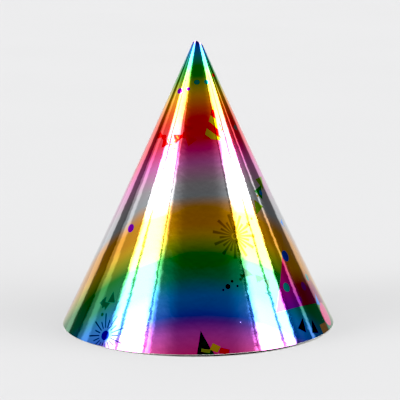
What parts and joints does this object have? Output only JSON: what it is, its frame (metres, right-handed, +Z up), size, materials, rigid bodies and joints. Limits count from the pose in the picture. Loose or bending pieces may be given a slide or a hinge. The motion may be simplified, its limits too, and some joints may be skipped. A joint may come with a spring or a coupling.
{
  "type": "party hat",
  "caption": "Cone party hat rolled from rainbow mirror-foil card printed with confetti, bursts and pennants, glued down a back lap, with side holes for an elastic.",
  "frame": {"origin": "centre of the rim, on the plane that the rim stands on", "axes": "+Z up the cone's axis to the tip, -Y out of the front of the print, +Y out of the back seam, +X to the right of someone facing the front"},
  "size_m": [0.154, 0.1547, 0.16],
  "materials": {
    "card": "matte",
    "rainbow_foil": "polished",
    "glue": "satin"
  },
  "bodies": {
    "root": {"card_cone": "card", "foil_film": "rainbow_foil", "seam_glue": "glue"}
  },
  "joints": []
}
